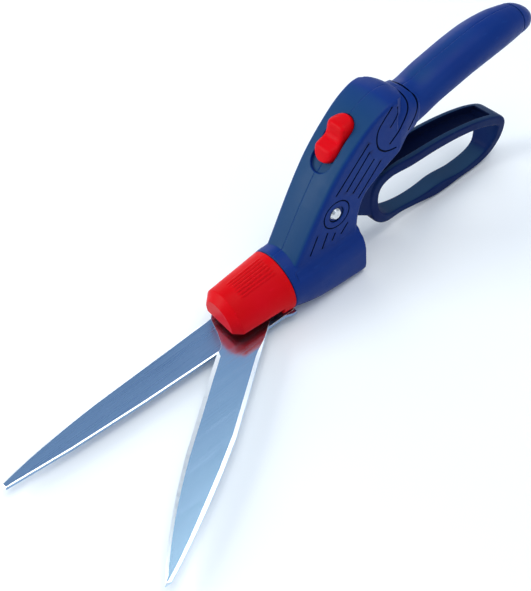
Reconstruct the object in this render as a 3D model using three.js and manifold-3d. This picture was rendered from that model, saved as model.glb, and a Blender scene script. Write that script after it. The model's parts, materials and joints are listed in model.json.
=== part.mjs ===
// One-hand grass shears with a head that swivels about its own axis.
// Millimetres, +Z up. Pieces are drawn in the head's frame: X runs along the swivel axis towards
// the blade tips, Z = 0 is that axis, and X = 0 is the rear rim of the hood. The nested group then
// lifts them so that the flat under the foot is Z = 0 and the middle of that flat is the origin.
import * as THREE from "three";
import { mergeVertices } from "three/addons/utils/BufferGeometryUtils.js";
import Module from "manifold-3d";

const wasm = await Module();
wasm.setup();

// ---- driving dimensions --------------------------------------------------
const gap = 0.3; // clearance between pieces that meet
const footFlatZ = -16.2; // underside of the foot
const footFaceX = -30; // middle of the foot's flat
const barrelRadius = 17.5;
const collarRadius = 16.6; // the barrel narrows to this at its front
const collarTaperX = -15; // from here on
const barrelRearX = -45;
const bodyFrontX = -1.9; // face behind the thrust washer
const slabFrontX = -1.8; // where the slab ends inside the barrel
const rimFrontX = 0.1; // front of the rim round that washer
const slabHalfWidth = 12.3; // at X = slabTaperX
const slabTaper = 0.0022; // growth in width per millimetre towards the hump
const slabTaperX = -30;
const wall = 2.4; // plastic wall of the shells

const rivet = { x: -31.3, z: 31.3 }; // lever pivot
const squeeze = THREE.MathUtils.degToRad(12.5); // lever stroke
const leverPinRadius = 2.6;
const hubRadius = 6.6;

const pivotX = 14.4; // blade pivot
const openAngle = THREE.MathUtils.degToRad(37); // blade opening at rest
const bladeLength = 141.6; // pivot to tip
const movingTopZ = -7.2;
const movingThickness = 1.7;
const fixedTopZ = -9.15;
const fixedThickness = 1.8;
const boltRadius = 3.0;
const drivePinRadius = 1.3;

const tubeRadius = 8;
const tubeBore = 5.5;
const rodRadius = 2.5;
const rodTravel = rivet.z * Math.sin(squeeze);
const driveArm = rodTravel / (2 * Math.tan(openAngle / 2)); // drive pin's distance beside the pivot
const drivePinX = pivotX + rodTravel / 2; // at rest
const slotSlope = THREE.MathUtils.degToRad(42); // fall of the top face under the lock button
const slotCentre = { x: -40.9, z: 61.3 };
const lockTravel = 5;
const buttonHalfLength = 12;
const buttonHalfWidth = 6;

// ---- colours and finishes ------------------------------------------------
const finish = (color, roughness, metalness) =>
  new THREE.MeshStandardMaterial({ color, roughness, metalness });
const navyPlastic = () => finish(0x17306e, 0.55, 0);
const redPlastic = () => finish(0xd3121b, 0.35, 0);
const darkPlastic = () => finish(0x20242c, 0.6, 0);
const brushedSteel = () => finish(0xa9b0b8, 0.35, 0.9);
const brightSteel = () => finish(0xc9ced4, 0.2, 0.95);
const springSteel = () => finish(0x6d7278, 0.35, 0.9);
const bronze = () => finish(0xa87a45, 0.4, 0.85);

// ---- solid helpers -------------------------------------------------------
function solid(geometry) {
  const bare = geometry.clone();
  bare.deleteAttribute("normal");
  bare.deleteAttribute("uv");
  const merged = mergeVertices(bare, 1e-4);
  const triVerts = new Uint32Array(merged.index.array);
  const vertProperties = merged.attributes.position.array;
  const made = new wasm.Manifold(new wasm.Mesh({ numProp: 3, vertProperties, triVerts }));
  if (made.volume() >= 0) return made;
  for (let i = 0; i < triVerts.length; i += 3) {
    [triVerts[i + 1], triVerts[i + 2]] = [triVerts[i + 2], triVerts[i + 1]];
  }
  return new wasm.Manifold(new wasm.Mesh({ numProp: 3, vertProperties, triVerts }));
}

function geometryOf(shape) {
  const mesh = shape.getMesh();
  const positions = new Float32Array(mesh.numVert * 3);
  for (let i = 0; i < mesh.numVert; i++) {
    positions.set(mesh.vertProperties.subarray(i * mesh.numProp, i * mesh.numProp + 3), i * 3);
  }
  const geometry = new THREE.BufferGeometry();
  geometry.setAttribute("position", new THREE.BufferAttribute(positions, 3));
  geometry.setIndex(new THREE.BufferAttribute(new Uint32Array(mesh.triVerts), 1));
  geometry.computeVertexNormals();
  return geometry;
}

const join = (...shapes) => shapes.reduce((sum, shape) => sum.add(shape));
const cut = (shape, ...tools) => tools.reduce((rest, tool) => rest.subtract(tool), shape);

function box(x0, x1, y0, y1, z0, z1) {
  const geometry = new THREE.BoxGeometry(x1 - x0, y1 - y0, z1 - z0);
  geometry.translate((x0 + x1) / 2, (y0 + y1) / 2, (z0 + z1) / 2);
  return solid(geometry);
}

// A round bar (or cone) along X, Y or Z from one coordinate to another.
function bar(axis, radius, from, to, a, b, segments = 24, endRadius = radius) {
  const geometry = new THREE.CylinderGeometry(endRadius, radius, to - from, segments);
  geometry.translate(0, (from + to) / 2, 0);
  if (axis === "x") {
    geometry.rotateZ(-Math.PI / 2);
    geometry.translate(0, a, b);
  }
  if (axis === "y") geometry.translate(a, 0, b);
  if (axis === "z") {
    geometry.rotateX(Math.PI / 2);
    geometry.translate(a, b, 0);
  }
  return solid(geometry);
}

const ring = (axis, outer, inner, from, to, a, b, segments = 24) =>
  cut(bar(axis, outer, from, to, a, b, segments), bar(axis, inner, from - 1, to + 1, a, b, segments));

const shapeOf = (outline) =>
  outline instanceof THREE.Shape
    ? outline
    : new THREE.Shape(outline.map(([a, b]) => new THREE.Vector2(a, b)));

// A plate whose outline is given as [x, z] and whose thickness runs along Y.
function plateXZ(outline, y0, y1, round = 0, steps = 2) {
  const geometry = new THREE.ExtrudeGeometry(shapeOf(outline), {
    depth: y1 - y0 - 2 * round,
    bevelEnabled: round > 0,
    bevelThickness: round,
    bevelSize: round,
    bevelOffset: -round,
    bevelSegments: steps,
    curveSegments: 8,
  });
  geometry.rotateX(Math.PI / 2);
  geometry.translate(0, y1 - round, 0);
  return solid(geometry);
}

// A plate whose outline is given as [x, y] and whose thickness runs along Z.
function plateXY(outline, z0, z1) {
  const geometry = new THREE.ExtrudeGeometry(shapeOf(outline), {
    depth: z1 - z0,
    bevelEnabled: false,
    curveSegments: 8,
  });
  geometry.translate(0, 0, z0);
  return solid(geometry);
}

// A skin over rings of equal point count, capped at both ends or closed on itself.
function loft(rings, closed = false) {
  const count = rings[0].length;
  const positions = rings.flat(2);
  const index = [];
  const spans = closed ? rings.length : rings.length - 1;
  for (let i = 0; i < spans; i++) {
    const next = (i + 1) % rings.length;
    for (let j = 0; j < count; j++) {
      const a = i * count + j;
      const b = i * count + ((j + 1) % count);
      const c = next * count + j;
      const d = next * count + ((j + 1) % count);
      index.push(a, b, d, a, d, c);
    }
  }
  if (!closed) {
    for (const [start, flip] of [[0, true], [(rings.length - 1) * count, false]]) {
      for (let j = 1; j < count - 1; j++) {
        index.push(start, flip ? start + j + 1 : start + j, flip ? start + j : start + j + 1);
      }
    }
  }
  const geometry = new THREE.BufferGeometry();
  geometry.setAttribute("position", new THREE.Float32BufferAttribute(positions, 3));
  geometry.setIndex(index);
  return solid(geometry);
}

// A rounded section: power 2 is an ellipse, a higher power is squarer.
function roundSection(halfWidth, halfHeight, power, count) {
  const points = [];
  for (let j = 0; j < count; j++) {
    const angle = (2 * Math.PI * (j + 0.5)) / count;
    const c = Math.cos(angle);
    const s = Math.sin(angle);
    points.push([
      halfWidth * Math.sign(c) * Math.abs(c) ** (2 / power),
      halfHeight * Math.sign(s) * Math.abs(s) ** (2 / power),
    ]);
  }
  return points;
}

const smooth = (points, count) =>
  new THREE.SplineCurve(points.map(([x, z]) => new THREE.Vector2(x, z)))
    .getPoints(count)
    .map((point) => [point.x, point.y]);

function stadium(halfLength, halfWidth) {
  const shape = new THREE.Shape();
  const straight = halfLength - halfWidth;
  shape.absarc(straight, 0, halfWidth, -Math.PI / 2, Math.PI / 2, false);
  shape.absarc(-straight, 0, halfWidth, Math.PI / 2, 1.5 * Math.PI, false);
  return shape;
}

// ---- the handle's outer form ----------------------------------------------
// Crown of the top face, from the collar up over the hump and down to the grip.
const crown = smooth(
  [
    [slabFrontX, 10.1],
    [-7.3, 18.4],
    [-20.8, 38.8],
    [-34, 55.6],
    [-50, 69.4],
    [-61, 75.2],
    [-69, 76.2],
    [-77, 73.6],
    [-87, 66.5],
  ],
  14,
);
const belly = smooth(
  [
    [-84, 50],
    [-68.5, 42.8],
    [-56, 36],
    [-49.5, 31],
    [-45.6, 22],
    [-44.2, 12],
  ],
  8,
);

// The plateau on top of the slab ends in a rounded tongue; behind it the slab is a round neck.
const neckStations = [
  [-66, 48, 14.2, 22.2],
  [-76, 56.6, 12.9, 15],
  [-82, 57.8, 12, 12],
  [-90, 58.4, 11.1, 10],
];
const tongueEnd = [
  [-67, 25],
  [-69.5, 13.2],
  [-73, 11],
  [-75.6, 8.2],
  [-77, 4.6],
  [-77.5, 0],
];
function roundRear(form, inset) {
  const half = tongueEnd.map(([x, y]) => [x + inset, y - inset * Math.min(1, y / 7)]);
  const otherHalf = half.slice(0, -1).reverse().map(([x, y]) => [x, -y]);
  const tongue = plateXY([[20, -25], [20, 25], ...half, ...otherHalf], -40, 100);
  const neckRings = neckStations.map(([x, z, halfWidth, halfHeight]) =>
    roundSection(halfWidth - inset, halfHeight - inset, 2.6, 24).map(([y, height]) => [x, y, z + height]),
  );
  return join(form.intersect(tongue), form.intersect(loft(neckRings)));
}

function slab(inset) {
  const outline = [...crown, ...belly, [-44.2, 4], [slabFrontX, 4]];
  const corners = outline.map(([x, z]) => new THREE.Vector2(x, z));
  const moved = corners.map((here, i) => {
    const before = corners[(i + corners.length - 1) % corners.length];
    const after = corners[(i + 1) % corners.length];
    const into = here.clone().sub(before).normalize();
    const out = after.clone().sub(here).normalize();
    const normal = new THREE.Vector2(-into.y - out.y, into.x + out.x).normalize();
    const turn = Math.max(0.5, normal.dot(new THREE.Vector2(-into.y, into.x)));
    return [here.x + (normal.x * inset) / turn, here.y + (normal.y * inset) / turn];
  });
  const halfWidth = slabHalfWidth - inset;
  const plain = geometryOf(plateXZ(moved, -halfWidth, halfWidth, inset > 0 ? 1 : 2.6, inset > 0 ? 1 : 2));
  const position = plain.attributes.position;
  for (let i = 0; i < position.count; i++) {
    const x = position.getX(i);
    position.setY(i, position.getY(i) * (1 - slabTaper * (x - slabTaperX)));
  }
  return roundRear(solid(plain), inset);
}

// Hollow that runs along the foot of each flank, deeper towards the collar.
const flankHollows = [-1, 1].map((side) => bar("x", 5.5, -47, -3.7, side * 18.2, 13.2, 24, 6.6));

// Barrel section: round above the axis, growing square below it towards the rear.
function barrel(inset, fromX, toX) {
  const rings = [];
  const stations = 3;
  for (let i = 0; i <= stations; i++) {
    const x = fromX + ((toX - fromX) * i) / stations;
    const rear = THREE.MathUtils.clamp((bodyFrontX - x) / (bodyFrontX - barrelRearX), 0, 1);
    const front = THREE.MathUtils.clamp((x - collarTaperX) / (rimFrontX - collarTaperX), 0, 1);
    const radius = THREE.MathUtils.lerp(barrelRadius, collarRadius, front) - inset;
    const depth = THREE.MathUtils.lerp(-footFlatZ + 0.6, collarRadius, front) - inset;
    const upper = roundSection(radius, radius, 2, 24);
    const lower = roundSection(radius, depth, 2 + 4.3 * rear, 24);
    rings.push(upper.map((point, j) => [x, ...(point[1] > 0 ? point : lower[j])]));
  }
  return loft(rings);
}

// Palm grip: [x, centre height, half width, half height].
const gripStations = [
  [-70, 55.6, 10.6, 13],
  [-76, 56.8, 11.2, 13.6],
  [-82, 57.4, 11.4, 12],
  [-87, 58, 11.5, 10.5],
  [-92, 58.9, 11.6, 9.8],
  [-101, 61.4, 11.7, 9.7],
  [-112, 63.4, 11.8, 9.7],
  [-123, 65.2, 11.8, 9.8],
  [-135, 66.4, 11.6, 9.9],
  [-147, 66.6, 10.8, 9.5],
  [-155, 66.2, 9.8, 8.7],
  [-160.8, 65.8, 8.9, 7.9],
];
const capStations = [
  [-161.1, 65.8, 8.9, 7.9],
  [-165, 65, 8.1, 7.2],
  [-169, 63.8, 6.5, 5.9],
  [-171.6, 63, 4.4, 4],
  [-172.8, 62.6, 2, 1.9],
];
const gripRing = (inset) => ([x, z, halfWidth, halfHeight]) =>
  roundSection(halfWidth - inset, halfHeight - inset, 2.2, 16).map(([y, height]) => [x, y, z + height]);

const rearStation = gripStations[gripStations.length - 1];
const underFoot = box(-60, 5, -25, 25, footFlatZ - 10, footFlatZ);
const outerForm = cut(
  join(slab(0), barrel(0, barrelRearX, rimFrontX), loft(gripStations.map(gripRing(0)))),
  underFoot,
  ...flankHollows,
);
const openEnd = [rearStation[0] - 1, ...rearStation.slice(1)];
const gripHollow = [...gripStations, openEnd].map(gripRing(wall));
const innerForm = join(
  slab(wall),
  cut(barrel(wall, barrelRearX + wall, -13), box(-60, 5, -25, 25, -40, footFlatZ + wall)),
  loft(gripHollow),
);

// ---- the handle's fittings -----------------------------------------------
// Screws through the right shell into bosses of the left one: [x, z].
const screwSites = [
  [-20, 27],
  [-39.6, -9.6],
  [-67, 62.5],
  [-99, 61.2],
  [-145, 66.6],
];
const screwRadius = 1.5;
const screwHeadRadius = 2.9;
const bossRadius = 3.3;
const bosses = screwSites.map(([x, z]) =>
  bar("y", bossRadius, -18, 18, x, z, 14).intersect(outerForm),
);
const rivetBosses = [
  bar("y", 5.4, 7.9, 12, rivet.x, rivet.z, 20),
  bar("y", 5.4, -12, -7.9, rivet.x, rivet.z, 20),
];
const bearingFrontX = -3.1;
const bearingRearX = -12.9;
const frontWall = barrel(1, bearingRearX - 0.5, bodyFrontX - 0.2);
const bearingSeat = bar("x", 12 + gap, bearingRearX, bearingFrontX, 0, 0, 24);
const washerRadius = 14.5;
const washerSeat = bar("x", washerRadius + gap, bodyFrontX, rimFrontX + 1, 0, 0, 24);
const frontMouth = bar("x", 10, bearingRearX - 1, 2, 0, 0, 24);

// Frame of the lock's slot: u runs down the top face towards the blades, n stands out of it.
function onSlot(geometry, along = 0) {
  geometry.rotateY(slotSlope);
  geometry.translate(
    slotCentre.x + along * Math.cos(slotSlope),
    0,
    slotCentre.z - along * Math.sin(slotSlope),
  );
  return solid(geometry);
}
const slotPlate = (halfLength, halfWidth, n0, n1, along = 0) => {
  const geometry = new THREE.ExtrudeGeometry(stadium(halfLength, halfWidth), {
    depth: n1 - n0,
    bevelEnabled: false,
    curveSegments: 8,
  });
  geometry.translate(0, 0, n0);
  return onSlot(geometry, along);
};
const slotBox = (u0, u1, halfWidth, n0, n1) => {
  const geometry = new THREE.BoxGeometry(u1 - u0, 2 * halfWidth, n1 - n0);
  geometry.translate((u0 + u1) / 2, 0, (n0 + n1) / 2);
  return onSlot(geometry);
};
const recessFloor = -1.9;
const recessHalfLength = buttonHalfLength + lockTravel / 2 + gap;
const slotRecess = slotPlate(recessHalfLength, buttonHalfWidth + gap, recessFloor, 8);
const padMargin = 1.7; // material left round the recess
const slotPad = slotPlate(recessHalfLength + padMargin, buttonHalfWidth + gap + padMargin, -4, -1)
  .intersect(outerForm);
const stemHalfLength = 4;
const stemHalfWidth = 2.2;
const slotThrough = slotPlate(
  stemHalfLength + lockTravel / 2 + gap,
  stemHalfWidth + gap,
  -9,
  8,
);

// Opening in the belly for the lever's neck.
const neckHalfWidth = 6;
const bellySlot = plateXZ(
  [
    [-42, 24],
    [-42, 11],
    [-52, 8],
    [-74, 30],
    [-74, 41],
    [-66, 45],
    [-48, 38],
  ],
  -neckHalfWidth - 1.2,
  neckHalfWidth + 1.2,
);
const rodExit = bar("x", 8, barrelRearX - 3, barrelRearX + 4, 0, 0, 24);

// Shallow grooves moulded in both flanks.
const grooveDepth = 0.7;
const grooveHalfWidth = 0.45;
const rivetRingRadius = 7.6;
const rivetRecessRadius = 4.4;
const flankY = (x) => slabHalfWidth * (1 - slabTaper * (x - slabTaperX));
function grooveLine(x0, z0, x1, z1, side) {
  const length = Math.hypot(x1 - x0, z1 - z0);
  const geometry = new THREE.BoxGeometry(length, 6, 2 * grooveHalfWidth);
  geometry.translate(0, 3 - grooveDepth, 0);
  geometry.rotateY(-Math.atan2(z1 - z0, x1 - x0));
  const middleX = (x0 + x1) / 2;
  const middleZ = (z0 + z1) / 2;
  geometry.translate(middleX, flankY(middleX), middleZ);
  if (side < 0) geometry.scale(1, -1, 1);
  return solid(geometry);
}
const longGrooves = [
  [-51.7, 61.7, -31.6, 42.9],
  [-52.2, 56.3, -37.9, 41.5],
  [-54.9, 50.7, -41.7, 38.1],
  [-59.1, 47.3, -44.8, 32.9],
];
const shortGrooves = [
  [-19.3, 25.2, -14, 15.6],
  [-25.3, 23.2, -21.3, 15.2],
  [-29.8, 20, -27.7, 16.4],
  [-37.7, 21.6, -33.2, 17],
];
function flankCuts(side) {
  const cuts = [...longGrooves, ...shortGrooves].map((line) => grooveLine(...line, side));
  const face = flankY(rivet.x);
  const [near, far] = side > 0 ? [face - grooveDepth, 16] : [-16, -face + grooveDepth];
  const outer = rivetRingRadius + grooveHalfWidth;
  const inner = rivetRingRadius - grooveHalfWidth;
  cuts.push(ring("y", outer, inner, near, far, rivet.x, rivet.z, 28));
  return cuts;
}

// The shells meet on the middle plane, but under the foot the left one laps past it.
const seam = gap / 2;
const lap = (grow) =>
  box(footFaceX - 8 - grow, footFaceX + 8 + grow, -3 - grow, 1, footFlatZ - 1, footFlatZ + 1.2 + grow);
const leftHalf = join(box(-200, 20, seam, 40, -40, 100), lap(0));
const rightHalf = cut(box(-200, 20, -40, -seam, -40, 100), lap(gap));

function shell(side) {
  const hollow = cut(outerForm, innerForm);
  const solidShell = join(hollow, ...bosses, ...rivetBosses, frontWall, slotPad);
  const openings = [
    slotRecess,
    slotThrough,
    bellySlot,
    rodExit,
    bearingSeat,
    frontMouth,
    washerSeat,
    bar("y", leverPinRadius + gap, -20, 20, rivet.x, rivet.z, 20),
    bar("y", rivetRecessRadius, slabHalfWidth - 1, 20, rivet.x, rivet.z, 24),
    bar("y", rivetRecessRadius, -20, -slabHalfWidth + 1, rivet.x, rivet.z, 24),
  ];
  const screwHoles = screwSites.flatMap(([x, z]) => [
    bar("y", screwRadius + gap, -20, 7.4, x, z, 12),
    bar("y", screwHeadRadius + gap, -20, -7, x, z, 16),
  ]);
  return cut(solidShell, ...openings, ...flankCuts(side), ...screwHoles)
    .intersect(side > 0 ? leftHalf : rightHalf);
}

// ---- assembly ------------------------------------------------------------
const group = new THREE.Group();
const tool = new THREE.Group();
tool.position.set(-footFaceX, 0, -footFlatZ);
group.add(tool);

function add(name, shape, material, parent = tool) {
  const mesh = new THREE.Mesh(shape.isBufferGeometry ? shape : geometryOf(shape), material);
  mesh.name = name;
  parent.add(mesh);
  return mesh;
}

add("left_shell", shell(1), navyPlastic());
add("right_shell", shell(-1), navyPlastic());

// The end cap plugs into the open rear of the grip.
const plugFrom = [rearStation[0] - 0.6, ...rearStation.slice(1)];
const plugTo = [rearStation[0] + 4, ...rearStation.slice(1)];
const capPlug = loft([plugFrom, plugTo].map(gripRing(wall + gap)));
add("grip_end_cap", join(loft(capStations.map(gripRing(0))), capPlug), navyPlastic());

const crossReach = 1.9; // cross recess of the screws
const crossHalfWidth = 0.35;
screwSites.forEach(([x, z], i) => {
  const head = bar("y", screwHeadRadius, -9, -7.2, x, z, 16);
  const shank = bar("y", screwRadius, -7.2, 6.4, x, z, 12);
  const drive = join(
    box(x - crossReach, x + crossReach, -9.5, -8.2, z - crossHalfWidth, z + crossHalfWidth),
    box(x - crossHalfWidth, x + crossHalfWidth, -9.5, -8.2, z - crossReach, z + crossReach),
  );
  add(`shell_screw_${i + 1}`, cut(join(head, shank), drive), brightSteel());
});

// Pivot pin of the lever, a rivet headed at both ends.
const rivetFace = slabHalfWidth - 1;
const headBase = 3.2;
const headTop = 2.3;
add(
  "lever_pivot_pin",
  join(
    bar("y", leverPinRadius, -rivetFace - 0.9, rivetFace + 0.9, rivet.x, rivet.z, 20),
    bar("y", headBase, rivetFace + gap, rivetFace + 1.3, rivet.x, rivet.z, 20, headTop),
    bar("y", headTop, -rivetFace - 1.3, -rivetFace - gap, rivet.x, rivet.z, 20, headBase),
  ),
  brightSteel(),
);

// Ring the head's tube turns in, clamped between the shells.
add(
  "front_bearing",
  ring("x", 12, tubeRadius + 0.15, bearingRearX + gap, bearingFrontX - gap, 0, 0, 24),
  darkPlastic(),
);

// Click stop: a ball on a spring over a notched ring.
const detentX = -19;
const detentRadius = 11;
const ballRadius = 2;
const ballZ = detentRadius + ballRadius + 0.2;
const holderTop = 22;
const ballGeometry = new THREE.SphereGeometry(ballRadius, 10, 6);
ballGeometry.translate(detentX, 0, ballZ);
add("detent_ball", solid(ballGeometry), brightSteel());

function coil(axis, radius, wire, from, to, turns, a, b) {
  const length = to - from - 2 * wire;
  const steps = turns * 9;
  const rings = [];
  for (let i = 0; i <= steps; i++) {
    const angle = (2 * Math.PI * i) / 9;
    const along = from + wire + (length * i) / steps;
    rings.push(
      Array.from({ length: 5 }, (_, j) => {
        const turn = (2 * Math.PI * j) / 5;
        const reach = radius + wire * Math.cos(turn);
        const u = reach * Math.cos(angle);
        const v = reach * Math.sin(angle);
        const w = along + wire * Math.sin(turn);
        return axis === "x" ? [w, a + u, b + v] : [a + u, b + v, w];
      }),
    );
  }
  return loft(rings);
}
add(
  "detent_spring",
  coil("z", 1.45, 0.3, ballZ + ballRadius + 0.1, holderTop - 1.6, 3, detentX, 0),
  springSteel(),
);
add(
  "detent_holder",
  cut(
    box(detentX - 3.7, detentX + 3.7, -6, 6, detentRadius + 1.2, holderTop),
    bar("z", ballRadius + 0.15, 0, holderTop - 1.4, detentX, 0, 16),
  ),
  darkPlastic(),
);

// ---- lever ----------------------------------------------------------------
// Closed loop for the fingers: [x, z, half thickness, half width] along its middle.
const loopStations = [
  [-72, 27.4, 3.4, 7.8],
  [-86, 26.5, 3.4, 8.5],
  [-104, 25.2, 3.2, 8.5],
  [-121, 22.7, 2.9, 8.5],
  [-136, 19, 2.8, 8.5],
  [-147.5, 14.4, 3, 8.5],
  [-153.8, 10.4, 3, 8.5],
  [-154.9, 5, 3.3, 8.2],
  [-153.6, -2, 3.3, 7.4],
  [-150, -8.9, 3.2, 6],
  [-142, -12.4, 2.9, 5.3],
  [-128, -13, 2.4, 5.2],
  [-112, -12, 4, 5.1],
  [-98, -10.7, 2.6, 4.6],
  [-84, -8.3, 2.2, 4.3],
  [-71, -5, 2.8, 5.6],
  [-63.6, 3, 3, 6.4],
  [-61.6, 14, 3.1, 6.4],
  [-64, 23, 3.4, 7],
];
function fingerLoop(count, points) {
  const middle = new THREE.CatmullRomCurve3(
    loopStations.map(([x, z]) => new THREE.Vector3(x, 0, z)),
    true,
  );
  const section = new THREE.CatmullRomCurve3(
    loopStations.map(([, , half, width]) => new THREE.Vector3(half, width, 0)),
    true,
  );
  const rings = [];
  for (let i = 0; i < count; i++) {
    const at = middle.getPoint(i / count);
    const along = middle.getTangent(i / count);
    const size = section.getPoint(i / count);
    rings.push(
      roundSection(size.y, size.x, 5, points).map(([y, out]) => [
        at.x - along.z * out,
        y,
        at.z + along.x * out,
      ]),
    );
  }
  return loft(rings, true);
}
const channel = plateXZ(
  [
    [-68.5, 45],
    [-68.5, 27.5],
    [-71, 26.6],
    [-86, 25.8],
    [-104, 24.3],
    [-121, 21.5],
    [-136, 17.7],
    [-143.5, 14.9],
    [-146.5, 16.5],
    [-148, 45],
  ],
  -5.6,
  5.6,
);
const neck = plateXZ(
  [
    [-27.5, 34],
    [-33, 37.6],
    [-46, 32.5],
    [-60, 29.4],
    [-68, 29],
    [-64, 16],
    [-61.5, 4.5],
    [-56, 8],
    [-50, 12.5],
    [-43, 18.5],
    [-36, 26.5],
    [-30, 26],
  ],
  -neckHalfWidth,
  neckHalfWidth,
  1,
  1,
);
const forkReach = 2.4;
const forkSide = plateXZ(
  [
    [-28, 31],
    [-34.6, 31],
    [-33.9, 2],
    [-33.4, -1.2],
    [-32.2, -2.3],
    [-30.4, -2.3],
    [-29.3, -1.2],
    [-29.1, 1.2],
    [-30.5, 7.4],
    [-28.6, 9.4],
  ],
  3.1,
  neckHalfWidth,
);
const forkOtherSide = solid(geometryOf(forkSide).scale(1, -1, 1));
const forkBridge = plateXZ(
  [
    [-28, 31],
    [-34.6, 31],
    [-34.2, 9],
    [-28.6, 9],
  ],
  -neckHalfWidth,
  neckHalfWidth,
);
const lugAngle = THREE.MathUtils.degToRad(30.6);
const lugReach = 19.5;
const lugHalf = 0.8;
const slant = 0.9; // slope across the tips of lug and latch, so that they pass each other
const radial = (angle, reach, side) => [
  rivet.x - reach * Math.sin(angle) - side * Math.cos(angle),
  rivet.z + reach * Math.cos(angle) - side * Math.sin(angle),
];
const lug = plateXZ(
  [
    radial(lugAngle, 4, lugHalf),
    radial(lugAngle, 4, -lugHalf),
    radial(lugAngle, lugReach - slant, -lugHalf),
    radial(lugAngle, lugReach, lugHalf),
    radial(lugAngle, 10, 1.6),
  ],
  -3,
  3,
);
const bushingRadius = 4;
const lever = cut(
  join(
    fingerLoop(38, 12),
    neck,
    bar("y", hubRadius, -7.4, 7.4, rivet.x, rivet.z, 24),
    forkSide,
    forkOtherSide,
    forkBridge,
    lug,
  ),
  channel,
  bar("y", bushingRadius, -20, 20, rivet.x, rivet.z, 24),
);
add("trigger_lever", lever, navyPlastic());
add(
  "lever_bushing",
  ring("y", bushingRadius - gap, leverPinRadius + 0.15, -7.3, 7.3, rivet.x, rivet.z, 24),
  bronze(),
);

// ---- lock -----------------------------------------------------------------
const buttonRest = -lockTravel / 2;
const buttonBase = slotPlate(buttonHalfLength, buttonHalfWidth, recessFloor + gap, 0.9, buttonRest);
function lobe(centre, halfLength, height) {
  const shape = new THREE.Shape();
  shape.moveTo(-halfLength, 0.4);
  shape.quadraticCurveTo(-halfLength, height, 0, height);
  shape.quadraticCurveTo(halfLength, height, halfLength, 0.4);
  const geometry = new THREE.ExtrudeGeometry(shape, {
    depth: 2 * buttonHalfWidth,
    bevelEnabled: false,
    curveSegments: 6,
  });
  geometry.rotateX(Math.PI / 2);
  geometry.translate(centre, buttonHalfWidth, 0);
  return onSlot(geometry, buttonRest);
}
const buttonPlan = slotPlate(buttonHalfLength - 0.3, buttonHalfWidth - 0.3, -1, 8, buttonRest);
const buttonLobes = join(lobe(-5.6, 6, 4.9), lobe(5.9, 5.7, 3.9)).intersect(buttonPlan);
const stem = slotPlate(stemHalfLength, stemHalfWidth, -4.4, 0.5, buttonRest);
const lockScrewU = buttonRest - 2;
const screwInSlot = (radius, n0, n1, segments) => {
  const geometry = new THREE.CylinderGeometry(radius, radius, n1 - n0, segments);
  geometry.rotateX(Math.PI / 2);
  geometry.translate(lockScrewU, 0, (n0 + n1) / 2);
  return onSlot(geometry);
};
add(
  "lock_button",
  cut(
    join(buttonBase, buttonLobes, stem),
    screwInSlot(1.1, -8, -1, 12),
  ),
  redPlastic(),
);
const latchTip = 17.5; // reach of the latch's two ends from the rivet
const latchTop = 25.5;
const latchAngle = THREE.MathUtils.degToRad(24.4);
const latchBack = [-lockTravel * Math.cos(slotSlope), lockTravel * Math.sin(slotSlope)];
const latchCorner = (reach, side) => {
  const [x, z] = radial(latchAngle, reach, side);
  return [x + latchBack[0], z + latchBack[1]];
};
const latchBlade = plateXZ(
  [
    latchCorner(latchTip + slant, lugHalf),
    latchCorner(latchTip, -lugHalf),
    latchCorner(latchTop, -lugHalf),
    latchCorner(latchTop, lugHalf),
  ],
  -2.6,
  2.6,
);
const latchPlate = slotBox(buttonRest - 6.5, buttonRest + 6, 4.2, -5.9, -4.7);
add("lock_latch", cut(join(latchPlate, latchBlade), screwInSlot(1.3, -9, -1, 12)), springSteel());
add(
  "lock_screw",
  join(screwInSlot(0.8, -6.6, -1.6, 12), screwInSlot(2, -7.4, -6.1, 14)),
  brightSteel(),
);

// ---- head -----------------------------------------------------------------
const hoodProfile = [
  [0.4, 16.5],
  [31, 14],
  [35, 10],
];
const hoodLathe = (points) => {
  const geometry = new THREE.LatheGeometry(
    points.map(([x, radius]) => new THREE.Vector2(radius, x)),
    28,
  );
  geometry.rotateZ(-Math.PI / 2);
  return solid(geometry);
};
const hoodOuter = hoodLathe([[0.4, 0], ...hoodProfile, [35, 0]]);
const hoodWall = 2;
const hoodInner = hoodLathe([
  [3.4, 0],
  [3.4, 14.2],
  [30.2, 12],
  [33, 9.2],
  [33, 0],
]);
const hoodLipZ = -2.8;
const hoodScrews = [-11.9, 11.9];
const hoodScrewX = 3.2;
const hoodBosses = hoodScrews.map((y) => bar("z", 2.2, -8.8, -4.2, hoodScrewX, y, 12).intersect(hoodOuter));
const gripRibs = [];
for (let i = -3; i <= 3; i++) {
  const rib = new THREE.BoxGeometry(21, 0.7, 1.2);
  rib.rotateY(Math.atan2(hoodProfile[0][1] - hoodProfile[1][1], 30.6));
  rib.translate(14, 0, 15.5);
  rib.rotateX(i * 0.12 - 0.1);
  gripRibs.push(solid(rib));
}
const hood = cut(
  join(
    cut(hoodOuter, hoodInner),
    ...hoodBosses,
    ...gripRibs,
  ),
  box(7, 40, -20, 20, -20, hoodLipZ),
  box(-1, 40, -20, 20, -20, -8.8),
  bar("x", tubeRadius + 0.15, -1, 6, 0, 0, 24),
  ...hoodScrews.map((y) => bar("z", 1, -9, -4.4, hoodScrewX, y, 12)),
);
add("head_hood", hood, redPlastic());
add(
  "thrust_washer",
  ring("x", washerRadius, tubeRadius + gap, bodyFrontX + gap, rimFrontX, 0, 0, 24),
  darkPlastic(),
);

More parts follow.
